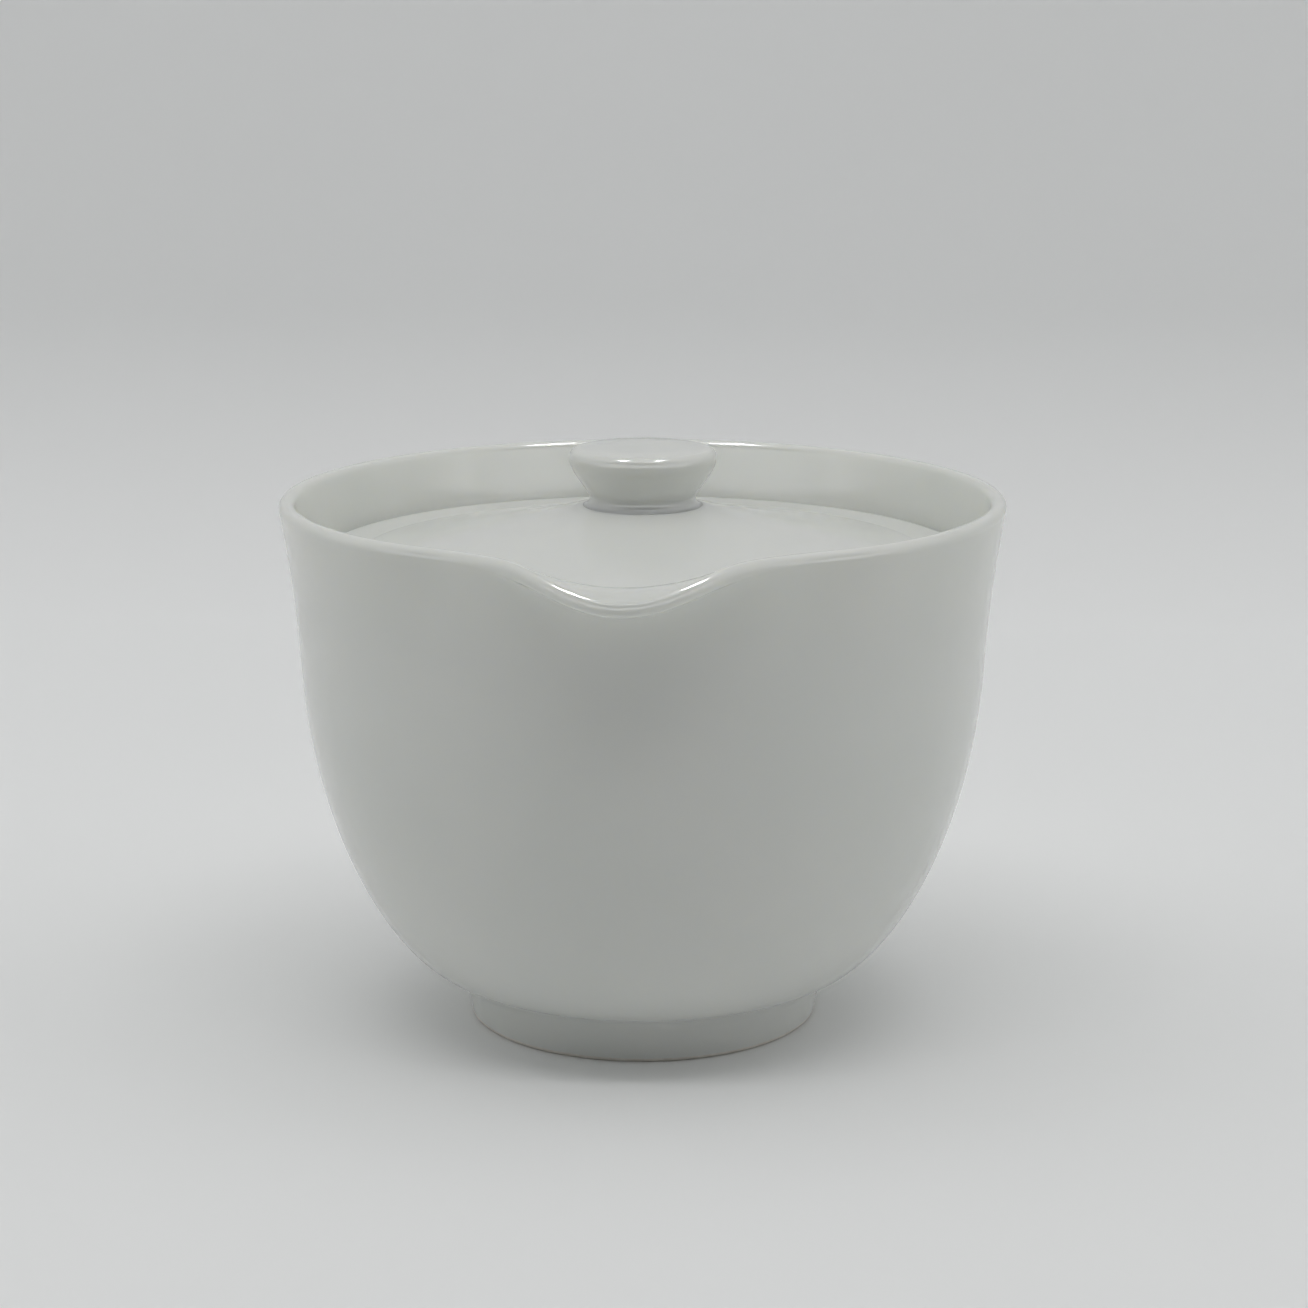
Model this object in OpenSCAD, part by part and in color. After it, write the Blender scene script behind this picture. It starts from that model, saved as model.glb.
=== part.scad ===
// Spouted gaiwan: a small porcelain brewing bowl with a pinched pouring spout and an
// inset lid that is lifted by its knob. Millimetres. +Z is up, and the origin is on the
// bowl's axis at the height of the table. The spout points along -Y.

/* [Bowl] */
// Outer width across the rim, measured side to side
rim_d = 84.2; // [83:0.2:86]
// Height of the rim above the table
bowl_h = 62.1; // [61:0.1:64]
// Wall thickness at the rim
rim_wall = 1.9; // [1.8:0.05:2.1]
// Wall thickness at the belly
body_wall = 3; // [2.6:0.1:3.4]
// Outer width at the top of the belly, where the wall turns nearly upright
belly_d = 80; // [79:0.2:81]
// Height at which the belly ends and the upright wall begins
belly_top = 43; // [42:0.5:44]

/* [Spout] */
// How far the spout's tip reaches out beyond the round rim
spout_reach = 5.4; // [4.4:0.1:5.8]
// How far the spout's tip dips below the rim
spout_dip = 3.55; // [3.2:0.05:3.8]
// Spread of the spout around the rim, in degrees each way
spout_spread = 13.4; // [12:0.2:14.4]
// Depth of the pinched hollow at each side of the spout
pinch = 1.2; // [0.6:0.1:1.3]
// Angle from the spout to the middle of each pinched hollow
pinch_angle = 28; // [26:1:30]
// Spread of each pinched hollow, in degrees each way
pinch_spread = 8; // [7:0.5:9]

/* [Foot ring] */
// Outer width of the foot where it meets the table
foot_d = 41.2; // [40:0.2:42]
// Height of the foot ring
foot_h = 5.8; // [5.6:0.1:6.2]
// Thickness of the foot ring at the table
foot_wall = 2.8; // [2.4:0.1:3.2]

/* [Lid] */
// Width of the lid
lid_d = 76.8; // [76.4:0.1:77]
// Height of the ledge that the lid rests on
seat_z = 53; // [52.8:0.1:53.4]
// Width of the ledge inside the wall
seat_w = 2.2; // [2:0.1:2.6]
// Thickness of the lid's outer ring
lid_ring_t = 2.6; // [2.4:0.1:2.8]
// Width of the lid's outer ring, from its edge to the crease around the dome
lid_ring_w = 5.8; // [5.2:0.1:6.4]
// Rise of the dome above the ring
dome_rise = 5.5; // [5.1:0.1:5.9]
// Thickness of the dome
dome_t = 2.8; // [2.5:0.1:3.1]

/* [Knob] */
// Greatest width of the knob
knob_d = 17.2; // [16.4:0.2:18]
// Height of the knob above the dome
knob_h = 6.8; // [6.6:0.1:7.4]
// Width of the knob's neck
neck_d = 12.4; // [11.6:0.2:12.8]

/* [Smoothness] */
// Steps around the spouted upper wall
around = 144; // [120:24:144]

/* [Hidden] */
// The turned surfaces are round for any number of sides above twelve.
$fn = 96;

rim_r = rim_d / 2;
belly_r = belly_d / 2;
foot_r = foot_d / 2;
// Radius of the belly's underside where it leaves the foot ring
belly_start_r = foot_r + 1.9;
// The middle of the wall's rounded edge sits half a wall below the rim
wall_end_z = bowl_h - rim_wall / 2;
// Inside of the bowl
floor_t = 3.2;
floor_z = foot_h + floor_t;
inner_belly_r = belly_r - body_wall;
// The spouted wall's foot stands this far inside both faces of the belly's top
seam = 0.05;

// How the spout's reach, its dip and the pinched hollows grow up the wall: the higher the
// power, the nearer the rim they start, so the wall stays upright and then bends out
reach_power = 9;
dip_power = 10;
pinch_power = 3;
// Part of the reach that starts lower down, and opens the pouring slit beside the lid
slit_share = 0.15;
slit_power = 3;
// The pouring channel scooped in the thick wall below the spout
channel_spread = 20;

rows_outer = 12;
rows_upper = 7;
rows_lower = 5;
rows_lip = 5;

lid_r = lid_d / 2;
crease_r = lid_r - lid_ring_w;
ring_top = seat_z + lid_ring_t;
dome_top = ring_top + dome_rise;
knob_r = knob_d / 2;
neck_r = neck_d / 2;
// Flat pad in the middle of the dome that the knob stands on
pad_r = neck_r + 1.1;

glaze = [0.86, 0.87, 0.84];
bare = [0.8, 0.79, 0.75];

// Point at fraction t of the cubic curve with ends a, d and handles b, c
function curve_at(a, b, c, d, t) =
    pow(1 - t, 3) * a + 3 * pow(1 - t, 2) * t * b + 3 * (1 - t) * t * t * c + t * t * t * d;

// The same curve as a list of points, without its first point
function curve(a, b, c, d, steps) = [for (i = [1:steps]) curve_at(a, b, c, d, i / steps)];

// Points of a circular arc about centre c, from angle a0 to a1
function arc(c, r, a0, a1, steps) =
    [for (i = [0:steps]) let (a = a0 + (a1 - a0) * i / steps) c + r * [cos(a), sin(a)]];

// A smooth hump, 1 at angle 0 and falling away on both sides
function hump(angle, spread) = exp(-pow(angle / spread, 2));

// Angle from the spout's direction, from 0 to 180
function from_spout(angle) = abs(angle) <= 180 ? abs(angle) : 360 - abs(angle);

// How far the wall is drawn out (+) into the spout or pinched in (-) beside it
function push(angle, u) =
    let (a = from_spout(angle))
    spout_reach * hump(a, spout_spread)
        * ((1 - slit_share) * pow(u, reach_power) + slit_share * pow(u, slit_power))
        - pinch * hump(a - pinch_angle, pinch_spread) * pow(u, pinch_power);

// Radius of the plain round wall, u = 0 at the belly's top and 1 at the rim
function plain_wall(u) =
    let (start_r = belly_r - seam) start_r + (rim_r - start_r) * (0.45 * u + 0.55 * u * u);

// Outer surface of the spouted wall as [radius, height]
function wall(angle, u) = [
    plain_wall(u) + push(angle, u),
    belly_top + (wall_end_z - belly_top) * u
        - spout_dip * hump(from_spout(angle), spout_spread) * pow(u, dip_power)
];

// Direction up along the wall, and the direction square to it, into the bowl
function along(angle, u) =
    let (step = 0.001, d = wall(angle, u + step) - wall(angle, u - step)) d / norm(d);
function inward(angle, u) = let (d = along(angle, u)) [-d[1], d[0]];

// Wall thickness below the ledge: thickest at the ledge, and scooped out under the spout
seat_u = (seat_z - belly_top) / (wall_end_z - belly_top);
seat_wall = rim_wall + seat_w;
function lower_wall(angle, u) =
    let (
        rise = pow(u / seat_u, 2),
        channel = hump(from_spout(angle), channel_spread) * rise,
        start = body_wall - 2 * seam
    )
    start + (seat_wall - start) * rise - (seat_wall - rim_wall) * channel;

// Upright cut through the wall at one angle, as a closed loop of [radius, height]:
// up the outside, over the rounded lip, down to the ledge and on down the inside
function wall_cut(angle) =
    let (
        tip = wall(angle, 1),
        up = along(angle, 1),
        into = inward(angle, 1),
        lip_r = rim_wall / 2,
        outside = [for (i = [0:rows_outer]) wall(angle, 1 - pow(1 - i / rows_outer, 1.4))],
        lip = [
            for (i = [1:rows_lip])
                let (a = 180 * i / (rows_lip + 1))
                tip + lip_r * into - lip_r * cos(a) * into + lip_r * sin(a) * up
        ],
        upper = [
            for (i = [0:rows_upper - 1])
                let (u = 1 - (1 - seat_u) * (1 - pow(1 - i / rows_upper, 1.4)))
                wall(angle, u) + rim_wall * inward(angle, u)
        ],
        corner = [[wall(angle, seat_u)[0] - rim_wall, seat_z]],
        lower = [
            for (i = [0:rows_lower])
                let (u = seat_u * (1 - i / rows_lower), p = wall(angle, u))
                [p[0] - lower_wall(angle, u), i == 0 ? seat_z : p[1]]
        ]
    )
    concat(outside, lip, upper, corner, lower);

// The spouted upper wall: one cut for each step around, joined into a closed skin
module spouted_wall() {
    cuts = [for (k = [0:around - 1]) wall_cut(360 * k / around)];
    size = len(cuts[0]);
    points = [
        for (k = [0:around - 1])
            let (a = 360 * k / around - 90)
            for (p = cuts[k]) [p[0] * cos(a), p[0] * sin(a), p[1]]
    ];
    faces = [
        for (k = [0:around - 1], i = [0:size - 1])
            let (
                j = (i + 1) % size,
                here = k * size,
                next = ((k + 1) % around) * size
            )
            each [
                [here + i, here + j, next + j],
                [here + i, next + j, next + i]
            ]
    ];
    polyhedron(points, faces, convexity = 6);
}

// The turned lower part of the bowl: round belly, flat floor
module belly() {
    outside = curve(
        [belly_start_r, foot_h],
        [belly_start_r + 6.5, foot_h + 0.4],
        [belly_r - 1.1, belly_top - 21.5],
        [belly_r, belly_top],
        24
    );
    inside = curve(
        [inner_belly_r, belly_top],
        [inner_belly_r - 0.9, belly_top - 20.5],
        [belly_start_r + 4.5, floor_z + 0.6],
        [belly_start_r - 8, floor_z],
        20
    );
    rotate_extrude()
        polygon(concat(
            [[0, foot_h], [belly_start_r, foot_h]],
            outside,
            [[inner_belly_r, belly_top]],
            inside,
            [[0, floor_z]]
        ));
}

module bowl() {
    color(glaze) {
        belly();
        spouted_wall();
    }
}

// Turned foot ring: tapered outside with a small sweep into the belly, rounded bare edge
module foot_ring() {
    edge_r = 0.5;
    top_r = foot_r + 1;
    inner_r = foot_r - foot_wall;
    color(bare)
        rotate_extrude()
            polygon(concat(
                [[inner_r + edge_r, 0]],
                arc([foot_r - edge_r, edge_r], edge_r, -90, 10, 4),
                curve(
                    [top_r - 0.3, foot_h - 2],
                    [top_r, foot_h - 1],
                    [belly_start_r - 0.5, foot_h - 0.4],
                    [belly_start_r, foot_h],
                    6
                ),
                [[inner_r - 0.9, foot_h]],
                arc([inner_r + edge_r, edge_r], edge_r, 180, 270, 3)
            ));
}

// Turned lid: a flat ring that rests on the ledge, a small step up, and a low dome
module lid() {
    edge_r = 0.9;
    edge_z = ring_top - edge_r;
    bearing_r = lid_r - seat_w - 1.2;
    dome = curve(
        [pad_r, dome_top],
        [pad_r + 6, dome_top - 1.75],
        [crease_r - 8, ring_top + 1.2],
        [crease_r, ring_top + 0.12],
        14
    );
    under = curve(
        [bearing_r - 1.4, seat_z + 0.8],
        [bearing_r - 8, seat_z + 2.4],
        [pad_r + 8, dome_top - dome_t - 0.9],
        [pad_r, dome_top - dome_t],
        12
    );
    color(glaze)
        rotate_extrude()
            polygon(concat(
                [[0, dome_top], [pad_r, dome_top]],
                dome,
                [[crease_r + 0.6, ring_top]],
                arc([lid_r - edge_r, edge_z], edge_r, 80, 0, 5),
                arc([lid_r - 0.4, seat_z + 0.4], 0.4, 0, -90, 3),
                [[bearing_r, seat_z], [bearing_r - 1.4, seat_z + 0.8]],
                under,
                [[0, dome_top - dome_t]]
            ));
}

// Turned knob: an upside-down cone on a narrow neck, with a wide, nearly flat top
module lid_knob() {
    neck_z = 1.2;
    widest_z = knob_h - 1.3;
    root = curve(
        [neck_r + 0.8, 0],
        [neck_r + 0.15, 0.1],
        [neck_r - 0.1, 0.7],
        [neck_r, neck_z],
        6
    );
    side = curve(
        [neck_r, neck_z],
        [neck_r + 1.5, neck_z + 2.2],
        [knob_r, widest_z - 1.1],
        [knob_r, widest_z],
        10
    );
    shoulder = curve(
        [knob_r, widest_z],
        [knob_r, knob_h - 0.75],
        [knob_r - 0.2, knob_h - 0.25],
        [knob_r - 1, knob_h - 0.12],
        6
    );
    color(glaze)
        translate([0, 0, dome_top])
            rotate_extrude()
                polygon(concat(
                    [[0, 0], [neck_r + 0.8, 0]],
                    root,
                    side,
                    shoulder,
                    [[0, knob_h]]
                ));
}

bowl();
foot_ring();
lid();
lid_knob();
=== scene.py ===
"""Spouted porcelain gaiwan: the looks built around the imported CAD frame.

Every piece is a fine mesh computed here from its outline. Sizes are in metres, and every
place comes from the boxes of the CAD nodes. The spout points along -Y.
"""

import math

import bmesh
import bpy
from mathutils import Matrix, Vector, noise


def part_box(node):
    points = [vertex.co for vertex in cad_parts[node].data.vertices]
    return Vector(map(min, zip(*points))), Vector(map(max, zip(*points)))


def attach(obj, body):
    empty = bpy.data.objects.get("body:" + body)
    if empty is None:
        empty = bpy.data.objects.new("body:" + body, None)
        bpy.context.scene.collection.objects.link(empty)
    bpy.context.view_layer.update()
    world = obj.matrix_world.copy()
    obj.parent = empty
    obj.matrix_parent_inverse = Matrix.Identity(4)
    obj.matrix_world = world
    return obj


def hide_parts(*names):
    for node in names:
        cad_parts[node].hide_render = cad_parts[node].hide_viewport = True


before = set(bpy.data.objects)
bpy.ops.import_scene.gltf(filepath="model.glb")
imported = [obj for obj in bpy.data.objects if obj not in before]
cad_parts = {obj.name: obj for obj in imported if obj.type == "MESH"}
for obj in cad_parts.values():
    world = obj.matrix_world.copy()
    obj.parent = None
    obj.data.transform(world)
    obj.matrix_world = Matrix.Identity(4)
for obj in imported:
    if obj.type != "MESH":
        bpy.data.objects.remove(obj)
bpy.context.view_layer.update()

MM = 0.001

# Places read from the frame
BOWL_LOW, BOWL_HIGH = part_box("bowl")
FOOT_LOW, FOOT_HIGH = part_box("foot_ring")
LID_LOW, LID_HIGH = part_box("lid")
KNOB_LOW, KNOB_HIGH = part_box("lid_knob")

RIM_R = (BOWL_HIGH[0] - BOWL_LOW[0]) / 2
RIM_Z = BOWL_HIGH[2]
FOOT_TOP = FOOT_HIGH[2]
BELLY_START_R = (FOOT_HIGH[0] - FOOT_LOW[0]) / 2
LID_R = (LID_HIGH[0] - LID_LOW[0]) / 2
SEAT_Z = LID_LOW[2]
DOME_TOP = LID_HIGH[2]
KNOB_R = (KNOB_HIGH[0] - KNOB_LOW[0]) / 2
KNOB_TOP = KNOB_HIGH[2]

# Thrown thicknesses and the shape of the wall
RIM_WALL = 1.9 * MM
BODY_WALL = 3.0 * MM
FLOOR_T = 3.2 * MM
LEDGE_W = 2.2 * MM
BELLY_R = RIM_R - 2.1 * MM
BELLY_TOP = RIM_Z - 19.1 * MM
WALL_END = RIM_Z - RIM_WALL / 2

# The spout: how far it reaches, dips and pinches, and over what angles
SPOUT_REACH = 5.4 * MM
SPOUT_DIP = 3.55 * MM
SPOUT_SPREAD = math.radians(13.4)
PINCH = 1.2 * MM
PINCH_ANGLE = math.radians(28)
PINCH_SPREAD = math.radians(8)
CHANNEL_SPREAD = math.radians(20)

# How each of them grows up the wall; the slit is the part of the reach that starts lower down
REACH_POWER = 9
DIP_POWER = 10
PINCH_POWER = 3
SLIT_POWER = 3
SLIT_SHARE = 0.15

# Shares of the wall's widening that go up it straight and as a flare
WALL_LEAN = 0.45
WALL_FLARE = 0.55

# Mesh steps, the crowding of the wall's rows towards the lip, and the surface of the clay
STEPS_AROUND = 288
ROW_CROWDING = 1.4
THROW_DEPTH = 0.03 * MM
BARE_EDGE = 0.45 * MM


# ---------------------------------------------------------------- curves and outlines


def bezier(a, b, c, d, steps):
    """Points of a cubic curve from a to d with handles b and c, without its first point."""
    points = []
    for i in range(1, steps + 1):
        t = i / steps
        k = ((1 - t) ** 3, 3 * (1 - t) ** 2 * t, 3 * (1 - t) * t * t, t**3)
        points.append(tuple(sum(w * p[n] for w, p in zip(k, (a, b, c, d))) for n in (0, 1)))
    return points


def arc(centre, radius, start, end, steps):
    """Points of a circular arc, angles in degrees."""
    points = []
    for i in range(steps + 1):
        a = math.radians(start + (end - start) * i / steps)
        points.append((centre[0] + radius * math.cos(a), centre[1] + radius * math.sin(a)))
    return points


def hump(angle, spread):
    return math.exp(-((angle / spread) ** 2))


def wall_point(angle, u):
    """Outer surface of the upper wall at an angle from the spout; u is 0 at the belly, 1 at the rim."""
    plain = BELLY_R + (RIM_R - BELLY_R) * (WALL_LEAN * u + WALL_FLARE * u * u)
    growth = (1 - SLIT_SHARE) * u**REACH_POWER + SLIT_SHARE * u**SLIT_POWER
    reach = SPOUT_REACH * hump(angle, SPOUT_SPREAD) * growth
    pinch = PINCH * hump(angle - PINCH_ANGLE, PINCH_SPREAD) * u**PINCH_POWER
    dip = SPOUT_DIP * hump(angle, SPOUT_SPREAD) * u**DIP_POWER
    return Vector((plain + reach - pinch, BELLY_TOP + (WALL_END - BELLY_TOP) * u - dip))


def wall_directions(angle, u):
    """Unit directions up along the wall and square to it, into the bowl."""
    step = 0.001
    up = (wall_point(angle, u + step) - wall_point(angle, u - step)).normalized()
    return up, Vector((-up.y, up.x))


def lower_wall(angle, u, seat_u):
    """Wall thickness under the ledge, scooped into a channel below the spout."""
    rise = (u / seat_u) ** 2
    channel = hump(angle, CHANNEL_SPREAD) * rise
    seat_wall = RIM_WALL + LEDGE_W
    return BODY_WALL + (seat_wall - BODY_WALL) * rise - LEDGE_W * channel


def outer_side(angle):
    """Underside of the bowl, its belly and the outer surface up to the lip."""
    side = [(0.0, FOOT_TOP), (BELLY_START_R * 0.5, FOOT_TOP), (BELLY_START_R, FOOT_TOP)]
    side += bezier(
        (BELLY_START_R, FOOT_TOP),
        (BELLY_START_R + 6.5 * MM, FOOT_TOP + 0.4 * MM),
        (BELLY_R - 1.1 * MM, BELLY_TOP - 21.5 * MM),
        (BELLY_R, BELLY_TOP),
        44,
    )
    rows = 34
    side += [wall_point(angle, 1 - (1 - i / rows) ** ROW_CROWDING) for i in range(1, rows + 1)]
    return side


def lip(angle):
    """Half round over the top of the wall."""
    tip = wall_point(angle, 1)
    up, into = wall_directions(angle, 1)
    lip_r = RIM_WALL / 2
    steps = 12
    over = []
    for i in range(1, steps):
        a = math.pi * i / steps
        over.append(tip + lip_r * (1 - math.cos(a)) * into + lip_r * math.sin(a) * up)
    return over


def inner_wall(angle, seat_u):
    """Inner surface from the lip down to the ledge."""
    rows = 22
    side = []
    for i in range(rows):
        u = 1 - (1 - seat_u) * (1 - (1 - i / rows) ** ROW_CROWDING)
        side.append(wall_point(angle, u) + RIM_WALL * wall_directions(angle, u)[1])
    return side


def ledge(angle, seat_u):
    """The ledge that carries the lid, with a soft edge, and the wall below it down to the belly."""
    seat = wall_point(angle, seat_u)
    ledge_in = seat.x - lower_wall(angle, seat_u, seat_u)
    ledge_out = seat.x - RIM_WALL
    soft = min(0.3 * MM, 0.3 * (ledge_out - ledge_in))
    side = [(ledge_out - soft * 0.3, SEAT_Z + soft * 0.3), (ledge_out - soft, SEAT_Z)]
    side += arc((ledge_in + soft, SEAT_Z - soft), soft, 90, 180, 4)
    rows = 10
    for i in range(1, rows + 1):
        u = (seat_u - soft / (WALL_END - BELLY_TOP)) * (1 - i / rows)
        p = wall_point(angle, u)
        side.append((p.x - lower_wall(angle, u, seat_u), p.y))
    return side


def inner_belly():
    """Inside of the belly, down to the middle of the floor."""
    floor_z = FOOT_TOP + FLOOR_T
    inner_r = BELLY_R - BODY_WALL
    side = bezier(
        (inner_r, BELLY_TOP),
        (inner_r - 0.9 * MM, BELLY_TOP - 20.5 * MM),
        (BELLY_START_R + 4.5 * MM, floor_z + 0.6 * MM),
        (BELLY_START_R - 8 * MM, floor_z),
        36,
    )
    return side + [(BELLY_START_R * 0.3, floor_z), (0.0, floor_z)]


def bowl_outline(angle):
    """Upright cut through the bowl, from the underside's middle over the lip to the floor's middle."""
    seat_u = (SEAT_Z - BELLY_TOP) / (WALL_END - BELLY_TOP)
    outside = outer_side(angle) + lip(angle)
    inside = inner_wall(angle, seat_u) + ledge(angle, seat_u) + inner_belly()
    return outside + inside


def foot_outline(_angle):
    """Foot ring: tapered outside with a small sweep into the belly, rounded bare edge."""
    edge = 0.5 * MM
    foot_r = BELLY_START_R - 1.9 * MM
    inner_r = foot_r - 2.8 * MM
    top_r = foot_r + 1.0 * MM
    cut = [(inner_r + edge, 0.0), (foot_r - 2 * edge, 0.0)]
    cut += arc((foot_r - edge, edge), edge, -90, 10, 8)
    cut += bezier(
        (top_r - 0.3 * MM, FOOT_TOP - 2 * MM),
        (top_r, FOOT_TOP - 1 * MM),
        (BELLY_START_R - 0.5 * MM, FOOT_TOP - 0.4 * MM),
        (BELLY_START_R, FOOT_TOP),
        12,
    )
    cut += [(inner_r - 0.9 * MM, FOOT_TOP), (inner_r - 0.5 * MM, FOOT_TOP * 0.55)]
    cut += arc((inner_r + edge, edge), edge, 180, 270, 6)[:-1]
    return cut


def lid_outline(_angle):
    """Lid: a flat ring that rests on the ledge, a small step up, a low dome, a pad for the knob."""
    edge = 0.9 * MM
    ring_top = SEAT_Z + 2.6 * MM
    crease_r = LID_R - 5.8 * MM
    step_z = ring_top + 0.1 * MM
    pad_r = KNOB_R - 1.3 * MM
    bearing_r = LID_R - LEDGE_W - 1.2 * MM
    dome_t = 2.8 * MM
    cut = [(0.0, DOME_TOP), (pad_r * 0.5, DOME_TOP), (pad_r, DOME_TOP)]
    cut += bezier(
        (pad_r, DOME_TOP),
        (pad_r + 6 * MM, DOME_TOP - 1.75 * MM),
        (crease_r - 8 * MM, ring_top + 1.2 * MM),
        (crease_r, step_z),
        44,
    )
    cut += bezier(
        (crease_r, step_z),
        (crease_r + 0.3 * MM, step_z - 0.04 * MM),
        (crease_r + 0.4 * MM, ring_top),
        (crease_r + 0.8 * MM, ring_top),
        8,
    )
    cut += [(LID_R - 3 * MM, ring_top), (LID_R - 1.6 * MM, ring_top)]
    cut += arc((LID_R - edge, ring_top - edge), edge, 90, 0, 12)
    cut += arc((LID_R - 0.4 * MM, SEAT_Z + 0.4 * MM), 0.4 * MM, 0, -90, 5)
    cut += [(bearing_r, SEAT_Z), (bearing_r - 1.4 * MM, SEAT_Z + 0.8 * MM)]
    cut += bezier(
        (bearing_r - 1.4 * MM, SEAT_Z + 0.8 * MM),
        (bearing_r - 8 * MM, SEAT_Z + 2.4 * MM),
        (pad_r + 8 * MM, DOME_TOP - dome_t - 0.9 * MM),
        (pad_r, DOME_TOP - dome_t),
        24,
    )
    cut += [(0.0, DOME_TOP - dome_t)]
    return cut


def knob_outline(_angle):
    """Knob: an upside-down cone on a narrow neck, with a wide, nearly flat top."""
    neck_r = KNOB_R - 2.4 * MM
    neck_z = DOME_TOP + 1.2 * MM
    widest_z = KNOB_TOP - 1.3 * MM
    cut = [(0.0, DOME_TOP), (neck_r + 0.8 * MM, DOME_TOP)]
    cut += bezier(
        (neck_r + 0.8 * MM, DOME_TOP),
        (neck_r + 0.15 * MM, DOME_TOP + 0.1 * MM),
        (neck_r - 0.1 * MM, DOME_TOP + 0.7 * MM),
        (neck_r, neck_z),
        14,
    )
    cut += bezier(
        (neck_r, neck_z),
        (neck_r + 1.5 * MM, neck_z + 2.2 * MM),
        (KNOB_R, widest_z - 1.1 * MM),
        (KNOB_R, widest_z),
        24,
    )
    cut += bezier(
        (KNOB_R, widest_z),
        (KNOB_R, KNOB_TOP - 0.75 * MM),
        (KNOB_R - 0.2 * MM, KNOB_TOP - 0.25 * MM),
        (KNOB_R - 1 * MM, KNOB_TOP - 0.12 * MM),
        14,
    )
    cut += [(KNOB_R * 0.5, KNOB_TOP - 0.03 * MM), (0.0, KNOB_TOP)]
    return cut


# ---------------------------------------------------------------- meshes


def fold(angle):
    """Angle from the spout, from 0 to pi on either side."""
    return angle if angle <= math.pi else 2 * math.pi - angle


def spun_mesh(name, outline):
    """A closed skin through the outline at each angle around the upright axis.

    An outline that starts or ends on the axis is closed there by one shared point.
    """
    bm = bmesh.new()
    rings = []
    poles = {}
    first_cut = outline(0.0)
    size = len(first_cut)
    on_axis = {n for n in (0, size - 1) if first_cut[n][0] == 0.0}
    for k in range(STEPS_AROUND):
        angle = 2 * math.pi * k / STEPS_AROUND
        cut = outline(fold(angle))
        ring = []
        for n, (r, z) in enumerate(cut):
            if n in on_axis:
                if n not in poles:
                    poles[n] = bm.verts.new((0.0, 0.0, z))
                ring.append(poles[n])
            else:
                place = (r * math.sin(angle), -r * math.cos(angle), z)
                ring.append(bm.verts.new(place))
        rings.append(ring)
    last = size - 1 if on_axis else size
    for k in range(STEPS_AROUND):
        here = rings[k]
        there = rings[(k + 1) % STEPS_AROUND]
        for n in range(last):
            m = (n + 1) % size
            corners = []
            for v in (here[n], here[m], there[m], there[n]):
                if v not in corners:
                    corners.append(v)
            bm.faces.new(corners)
    bmesh.ops.recalc_face_normals(bm, faces=bm.faces)
    for face in bm.faces:
        face.smooth = True
    mesh = bpy.data.meshes.new(name)
    bm.to_mesh(mesh)
    bm.free()
    piece = bpy.data.objects.new(name, mesh)
    bpy.context.scene.collection.objects.link(piece)
    return piece


def throw_marks(piece, seed):
    """Soft unevenness of a thrown and glazed pot: slow swells and faint turning rings."""
    drift = Vector((seed * 3.1, seed * 1.7, seed * 2.3))
    for v in piece.data.vertices:
        r = math.hypot(v.co.x, v.co.y)
        if r < 1 * MM:
            continue
        swell = noise.noise(v.co * 45 + drift)
        ring = noise.noise(Vector((seed, 0, v.co.z * 420 + r * 160))) * 0.35
        push = THROW_DEPTH * (swell + ring) - THROW_DEPTH
        v.co += Vector((v.co.x / r, v.co.y / r, 0)) * push


# ---------------------------------------------------------------- materials


def new_material(name):
    material = bpy.data.materials.new(name)
    material.use_nodes = True
    nodes = material.node_tree.nodes
    links = material.node_tree.links
    shader = nodes["Principled BSDF"]
    return material, nodes, links, shader


def noise_texture(nodes, links, scale, detail):
    place = nodes.new("ShaderNodeTexCoord")
    texture = nodes.new("ShaderNodeTexNoise")
    texture.inputs["Scale"].default_value = scale
    texture.inputs["Detail"].default_value = detail
    texture.inputs["Roughness"].default_value = 0.55
    links.new(place.outputs["Object"], texture.inputs["Vector"])
    return texture


def map_range(nodes, links, source, low, high, start=0.0, end=1.0, curve="LINEAR"):
    """Value that runs from low to high as the source runs from start to end."""
    node = nodes.new("ShaderNodeMapRange")
    node.interpolation_type = curve
    node.inputs["From Min"].default_value = start
    node.inputs["From Max"].default_value = end
    node.inputs["To Min"].default_value = low
    node.inputs["To Max"].default_value = high
    links.new(source, node.inputs["Value"])
    return node.outputs["Result"]


def product(nodes, links, one, other):
    node = nodes.new("ShaderNodeMath")
    node.operation = "MULTIPLY"
    links.new(one, node.inputs[0])
    links.new(other, node.inputs[1])
    return node.outputs["Value"]


def ripples(nodes, links, shader, height, strength):
    """Fine unevenness of the surface that follows the height."""
    bump = nodes.new("ShaderNodeBump")
    bump.inputs["Strength"].default_value = strength
    bump.inputs["Distance"].default_value = 0.05 * MM
    links.new(height, bump.inputs["Height"])
    links.new(bump.outputs["Normal"], shader.inputs["Normal"])


def colour_ramp(nodes, links, source, stops):
    ramp = nodes.new("ShaderNodeValToRGB")
    while len(ramp.color_ramp.elements) < len(stops):
        ramp.color_ramp.elements.new(0.5)
    for element, (position, colour) in zip(ramp.color_ramp.elements, stops):
        element.position = position
        element.color = (*colour, 1)
    links.new(source, ramp.inputs["Fac"])
    return ramp


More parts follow.
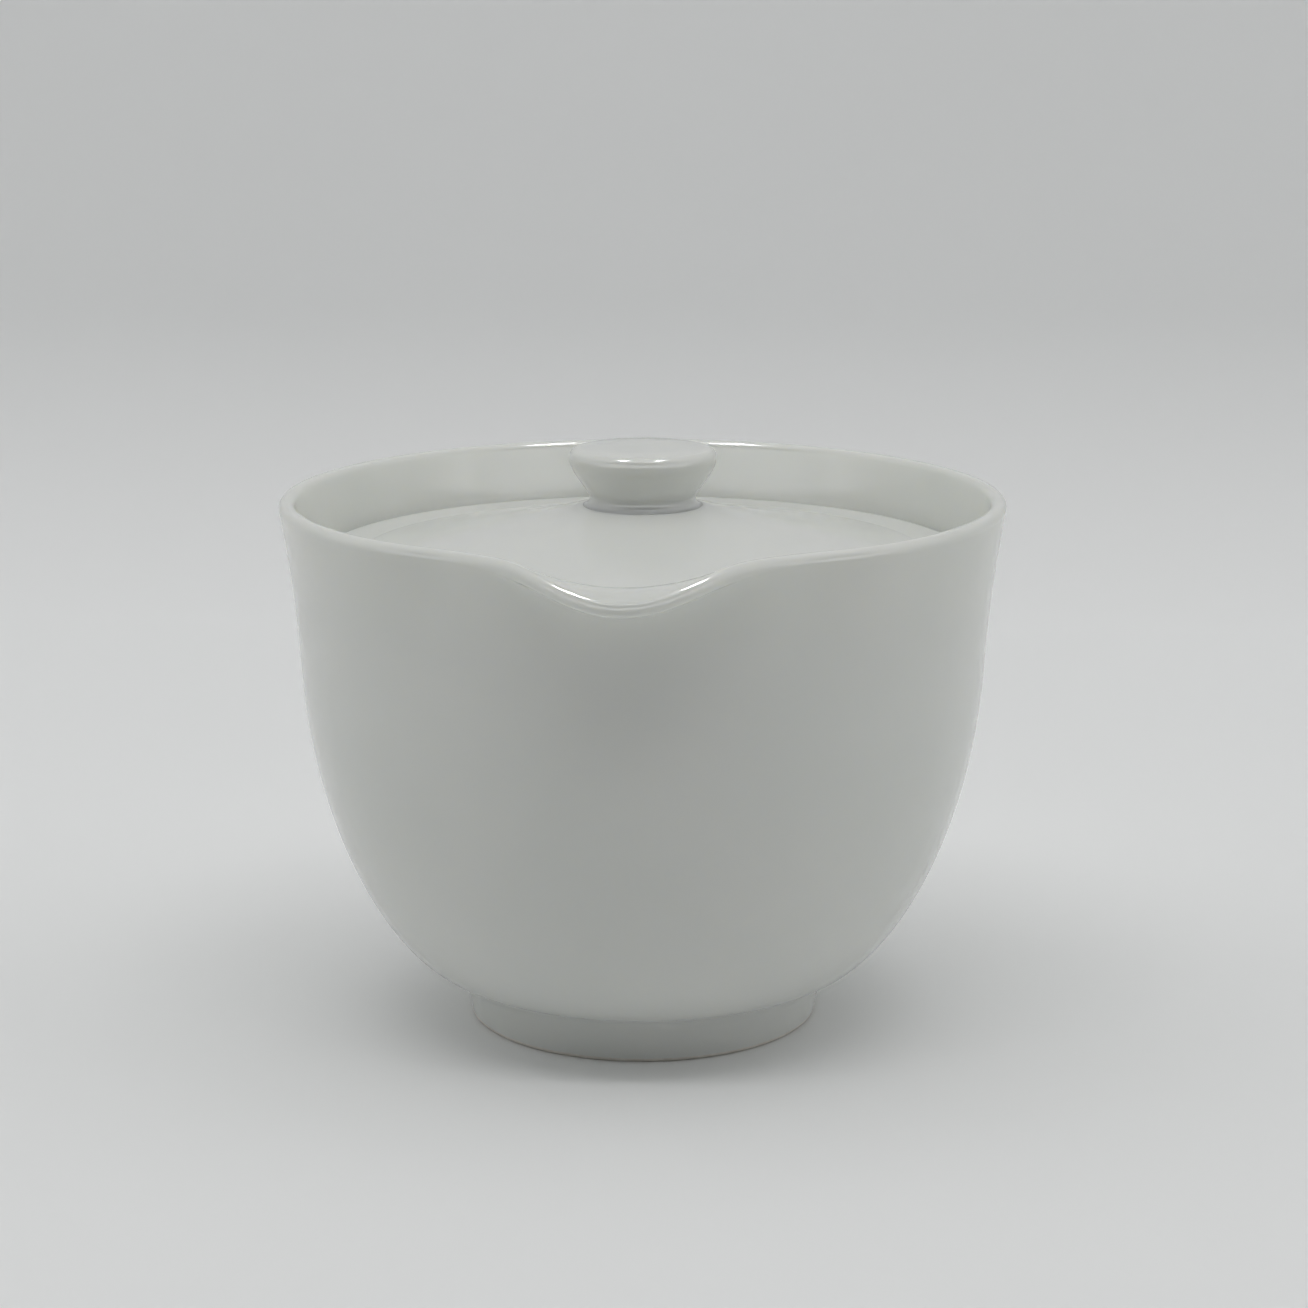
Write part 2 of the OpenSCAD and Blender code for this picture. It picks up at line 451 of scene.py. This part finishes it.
def glaze_material():
    """Clear glossy glaze over white porcelain, faintly cool, with pooled and thin places."""
    material, nodes, links, shader = new_material("porcelain_glaze")
    pooling = noise_texture(nodes, links, 38, 3)
    tint = colour_ramp(
        nodes,
        links,
        pooling.outputs["Fac"],
        [(0.3, (0.70, 0.718, 0.688)), (0.7, (0.735, 0.745, 0.715))],
    )
    links.new(tint.outputs["Color"], shader.inputs["Base Color"])
    sheen = noise_texture(nodes, links, 120, 4)
    gloss = map_range(nodes, links, sheen.outputs["Fac"], 0.06, 0.13)
    links.new(gloss, shader.inputs["Roughness"])
    orange_peel = noise_texture(nodes, links, 260, 3)
    ripples(nodes, links, shader, orange_peel.outputs["Fac"], 0.08)
    shader.inputs["IOR"].default_value = 1.5
    shader.inputs["Subsurface Weight"].default_value = 0.5
    shader.inputs["Subsurface Radius"].default_value = (1.0, 0.95, 0.8)
    shader.inputs["Subsurface Scale"].default_value = 2 * MM
    return material


def bare_material():
    """Unglazed, ground porcelain: matt, slightly warm and grainy."""
    material, nodes, links, shader = new_material("porcelain_bare")
    grain = noise_texture(nodes, links, 700, 4)
    tint = colour_ramp(
        nodes,
        links,
        grain.outputs["Fac"],
        [(0.3, (0.62, 0.58, 0.52)), (0.7, (0.74, 0.71, 0.65))],
    )
    links.new(tint.outputs["Color"], shader.inputs["Base Color"])
    rough = map_range(nodes, links, grain.outputs["Fac"], 0.6, 0.85)
    links.new(rough, shader.inputs["Roughness"])
    ripples(nodes, links, shader, grain.outputs["Fac"], 0.4)
    return material


def paper_material(name, colour, roughness):
    """Paper backdrop: nearly plain, with a breath of unevenness.

    A camera behind the paper sees through it to the gaiwan.
    """
    material, nodes, links, shader = new_material(name)
    cloud = noise_texture(nodes, links, 6, 2)
    low = tuple(c * 0.99 for c in colour)
    tint = colour_ramp(nodes, links, cloud.outputs["Fac"], [(0.3, low), (0.7, colour)])
    links.new(tint.outputs["Color"], shader.inputs["Base Color"])
    shader.inputs["Roughness"].default_value = roughness
    shader.inputs["Specular IOR Level"].default_value = 0.2
    side = nodes.new("ShaderNodeNewGeometry")
    rays = nodes.new("ShaderNodeLightPath")
    clear = nodes.new("ShaderNodeBsdfTransparent")
    seen = nodes.new("ShaderNodeMixShader")
    behind = product(nodes, links, side.outputs["Backfacing"], rays.outputs["Is Camera Ray"])
    links.new(behind, seen.inputs[0])
    links.new(shader.outputs["BSDF"], seen.inputs[1])
    links.new(clear.outputs["BSDF"], seen.inputs[2])
    links.new(seen.outputs["Shader"], nodes["Material Output"].inputs["Surface"])
    return material


# ---------------------------------------------------------------- the gaiwan


glaze = glaze_material()
bare = bare_material()

# Name, outline, the CAD node it stands for and the body it moves with
PIECES = [
    ("bowl_skin", bowl_outline, "bowl", "bowl"),
    ("foot_skin", foot_outline, "foot_ring", "bowl"),
    ("lid_skin", lid_outline, "lid", "lid"),
    ("knob_skin", knob_outline, "lid_knob", "lid"),
]

for seed, (piece_name, outline, node, body) in enumerate(PIECES, start=1):
    piece = spun_mesh(piece_name, outline)
    throw_marks(piece, seed)
    piece.data.materials.append(glaze)
    if node == "foot_ring":
        piece.data.materials.append(bare)
        for face in piece.data.polygons:
            if face.center.z < BARE_EDGE:
                face.material_index = 1
    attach(piece, body)
    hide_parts(node)


# ---------------------------------------------------------------- studio and camera


def studio():
    """Pale paper sweep: flat floor that curves up into a backdrop well behind the gaiwan."""
    half_width = 16 * RIM_R
    front = -24 * RIM_R
    bend_start = 5.1 * RIM_R
    bend_r = 1.3 * RIM_R
    line = [(front, 0.0)]
    for i in range(25):
        a = math.radians(90 * i / 24)
        line.append((bend_start + bend_r * math.sin(a), bend_r * (1 - math.cos(a))))
    line.append((bend_start + bend_r, 30 * RIM_R))
    mesh = bpy.data.meshes.new("sweep")
    vertices = [(side * half_width, y, z) for y, z in line for side in (-1, 1)]
    faces = [(2 * i, 2 * i + 1, 2 * i + 3, 2 * i + 2) for i in range(len(line) - 1)]
    mesh.from_pydata(vertices, [], faces)
    for face in mesh.polygons:
        face.use_smooth = True
    sweep = bpy.data.objects.new("sweep", mesh)
    sweep.data.materials.append(paper_material("sweep_paper", (0.83, 0.838, 0.835), 0.9))
    bpy.context.scene.collection.objects.link(sweep)


def soft_light(name, shape, place, aim, size, power):
    data = bpy.data.lights.new(name, "AREA")
    data.shape = shape
    data.size, data.size_y = size
    data.energy = power
    light = bpy.data.objects.new(name, data)
    light.location = place
    light.rotation_euler = (Vector(aim) - Vector(place)).to_track_quat("-Z", "Y").to_euler()
    light.visible_camera = False
    bpy.context.scene.collection.objects.link(light)
    return light


def room():
    """Dim even light from all round.

    The glaze mirrors a brighter low band in front, which fades out to the sides and upwards.
    Seen directly, past the paper, the room is as pale as the paper.
    """
    world = bpy.data.worlds.new("soft_room")
    world.use_nodes = True
    nodes = world.node_tree.nodes
    links = world.node_tree.links
    background = nodes["Background"]
    background.inputs["Color"].default_value = (0.97, 0.98, 1.0, 1)
    rays = nodes.new("ShaderNodeLightPath")
    place = nodes.new("ShaderNodeTexCoord")
    axes = nodes.new("ShaderNodeSeparateXYZ")
    links.new(place.outputs["Generated"], axes.inputs["Vector"])
    ahead = map_range(nodes, links, axes.outputs["Y"], 3.0, 0.0, -0.8, 0.1, "SMOOTHSTEP")
    low = map_range(nodes, links, axes.outputs["Z"], 1.0, 0.0, 0.25, 0.5, "SMOOTHSTEP")
    band = product(nodes, links, product(nodes, links, ahead, low), rays.outputs["Is Glossy Ray"])
    even = map_range(nodes, links, rays.outputs["Is Camera Ray"], 0.12, 0.62)
    total = nodes.new("ShaderNodeMath")
    links.new(band, total.inputs[0])
    links.new(even, total.inputs[1])
    links.new(total.outputs["Value"], background.inputs["Strength"])
    bpy.context.scene.world = world


def lights():
    """A wide soft ceiling, a wall of light at each side and a strip in front.

    Two small lamps overhead are only mirrored in the glaze.
    """
    high = 20 * RIM_R
    ceiling_size = (44 * RIM_R, 32 * RIM_R)
    soft_light("ceiling", "RECTANGLE", (0, 4 * RIM_R, high), (0, 4 * RIM_R, 0), ceiling_size, 6.8)
    strip_size = (16 * RIM_R, 1.6 * RIM_R)
    soft_light("strip", "RECTANGLE", (0, -8 * RIM_R, 19 * RIM_R), (0, 0, 0), strip_size, 1.0)
    wall_size = (20 * RIM_R, 14 * RIM_R)
    lamp_size = (2.2 * RIM_R, 2.2 * RIM_R)
    for side in (-1, 1):
        place = (side * 18 * RIM_R, RIM_R, 8 * RIM_R)
        soft_light("side_wall", "RECTANGLE", place, (0, 0, RIM_R), wall_size, 1.3)
        place = (side * 3.6 * RIM_R, 0, 14.5 * RIM_R)
        lamp = soft_light("lamp", "DISK", place, (0, 0, RIM_R), lamp_size, 3.0)
        lamp.visible_diffuse = False


def camera():
    """Seen a little from above, from just right of the spout's line."""
    distance = 8.375 * RIM_R
    height = 2.919 * RIM_R
    pitch = 0.2222
    turn = math.radians(2.5)
    aside = 0.031 * RIM_R
    place = Vector((aside, -distance, height))
    look = Vector((0, math.cos(pitch), -math.sin(pitch)))
    turned = Matrix.Rotation(turn, 3, "Z")
    data = bpy.data.cameras.new("view")
    data.sensor_width = 36.0
    data.lens = 84.56
    eye = bpy.data.objects.new("view", data)
    eye.location = turned @ place
    eye.rotation_euler = (turned @ look).to_track_quat("-Z", "Y").to_euler()
    bpy.context.scene.collection.objects.link(eye)
    bpy.context.scene.camera = eye


studio()
room()
lights()
camera()
bpy.context.scene.view_settings.view_transform = "Standard"
